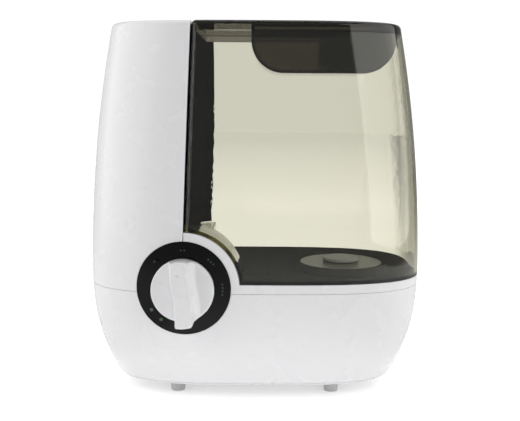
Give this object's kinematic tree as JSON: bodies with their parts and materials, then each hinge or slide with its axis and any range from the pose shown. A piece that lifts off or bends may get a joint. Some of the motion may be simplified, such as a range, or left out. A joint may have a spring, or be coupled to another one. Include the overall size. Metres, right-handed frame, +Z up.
{
  "type": "cool mist humidifier",
  "caption": "Tabletop cool mist humidifier: white base and column with a front dial, and a smoke-tinted water tank that lifts off beside the column.",
  "frame": {"origin": "centre of the bounding box around housing and knob, on the surface that the feet stand on", "axes": "+Z up, the dial faces -Y, the column stands at -X and the tank at +X"},
  "size_m": [0.285, 0.1863, 0.311],
  "materials": {
    "white_plastic": "smooth satin-gloss moulded white plastic",
    "charcoal_plastic": "dark charcoal moulded plastic",
    "grey_plastic": "plain grey moulded plastic",
    "black_plastic": "matt black moulded plastic",
    "black_gloss": "glossy black moulded plastic",
    "olive_plastic": "translucent grey-olive moulded plastic",
    "smoke_clear": "clear smoke-tinted plastic, 2.5 mm thick",
    "smoke_dark": "dark smoke-tinted glossy plastic",
    "foot_rubber": "pale grey rubber",
    "seal_rubber": "dark silicone rubber",
    "screw_steel": "zinc-plated steel",
    "spring_steel": "stainless steel",
    "motor_steel": "plain steel",
    "brass_ring": "turned brass",
    "sink_aluminium": "extruded aluminium",
    "lamp_lens": "dark translucent lens",
    "board_green": "green circuit board"
  },
  "bodies": {
    "base": {"base_shell": "white_plastic", "bottom_plate": "white_plastic", "rubber_feet": "foot_rubber", "base_screws": "screw_steel", "deck_ring": "white_plastic", "basin_tray": "charcoal_plastic", "column_cover": "white_plastic", "column_side": "black_plastic", "chamber_lid": "charcoal_plastic", "mist_duct": "grey_plastic", "air_duct": "grey_plastic", "fan_frame": "black_plastic", "fan_motor": "motor_steel", "dial_bezel": "black_gloss", "indicator_lenses": "lamp_lens", "rotary_switch": "black_plastic", "switch_bracket": "motor_steel", "reed_switch": "black_plastic", "transducer_seal": "seal_rubber", "transducer_disc": "spring_steel", "transducer_retainer": "brass_ring", "heat_sink": "sink_aluminium", "driver_board": "board_green", "power_board": "board_green", "transformer": "motor_steel", "wire_sockets": "grey_plastic", "cord_gland": "foot_rubber"},
    "dial": {"dial_knob": "white_plastic", "switch_shaft": "screw_steel"},
    "outlet": {"mist_outlet": "white_plastic"},
    "impeller": {"fan_rotor": "black_plastic"},
    "float_ring": {"float": "grey_plastic", "float_magnet": "motor_steel"},
    "tank": {"tank_body": "smoke_clear", "tank_top": "smoke_dark", "tank_handle": "black_gloss", "grip_insert": "black_gloss", "tank_magnet": "black_plastic"},
    "cap": {"tank_cap": "olive_plastic", "cap_gasket": "seal_rubber", "valve_spring": "spring_steel"},
    "valve": {"valve_stem": "grey_plastic", "valve_seal": "seal_rubber"}
  },
  "joints": [
    {"name": "knob_turn", "type": "hinge", "parent": "base", "child": "dial", "pos_m": [-0.0576, -0.07365, 0.097], "axis": [0, 1, 0], "range_deg": [-45, 90]},
    {"name": "outlet_turn", "type": "hinge", "parent": "base", "child": "outlet", "pos_m": [-0.08, 0.01035, 0.307], "axis": [0, 0, 1], "continuous": true},
    {"name": "fan_spin", "type": "hinge", "parent": "base", "child": "impeller", "pos_m": [-0.1225, 0.01035, 0.167], "axis": [1, 0, 0], "continuous": true},
    {"name": "float_rise", "type": "slide", "parent": "base", "child": "float_ring", "axis": [0, 0, 1], "range_m": [0, 0.006]},
    {"name": "tank_lift", "type": "slide", "parent": "base", "child": "tank", "axis": [0.0384, 0, 0.9993], "range_m": [0, 0.2]},
    {"name": "cap_turn", "type": "hinge", "parent": "tank", "child": "cap", "pos_m": [0.074, -0.01765, 0.1], "axis": [0, 0, 1], "range_deg": [0, 90]},
    {"name": "valve_push", "type": "slide", "parent": "cap", "child": "valve", "axis": [0, 0, 1], "range_m": [0, 0.004], "stiffness_N_per_m": 250, "springref_m": -0.003, "deforming": ["valve_spring"]}
  ]
}
